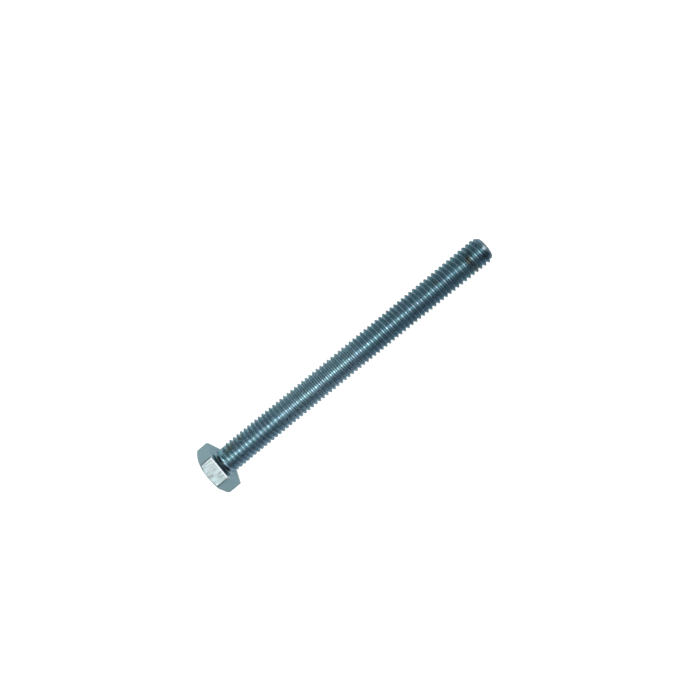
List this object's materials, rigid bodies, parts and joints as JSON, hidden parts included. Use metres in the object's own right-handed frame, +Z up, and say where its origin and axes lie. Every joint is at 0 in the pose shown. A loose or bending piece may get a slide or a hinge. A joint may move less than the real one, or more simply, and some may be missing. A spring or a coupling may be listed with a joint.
{
  "type": "hex bolt",
  "caption": "Zinc-plated steel hex-head bolt with a long fully threaded shank, a chamfered head and a chamfered end, for clamping parts with a nut or in a tapped hole.",
  "frame": {"origin": "centre of the head's flat top face, on the bolt's axis", "axes": "+X along the bolt's axis from the head to the thread end; +Z up, square to one hexagon flat; the bearing face is at x = 3.5 mm and the thread end at x = 74.3 mm"},
  "size_m": [0.0743, 0.0114, 0.01],
  "materials": {
    "zinc_plated_steel": "bright zinc plate with a thin blue passivation, satin on the head's flats"
  },
  "bodies": {
    "root": {"hex_bolt": "zinc_plated_steel"}
  },
  "joints": []
}
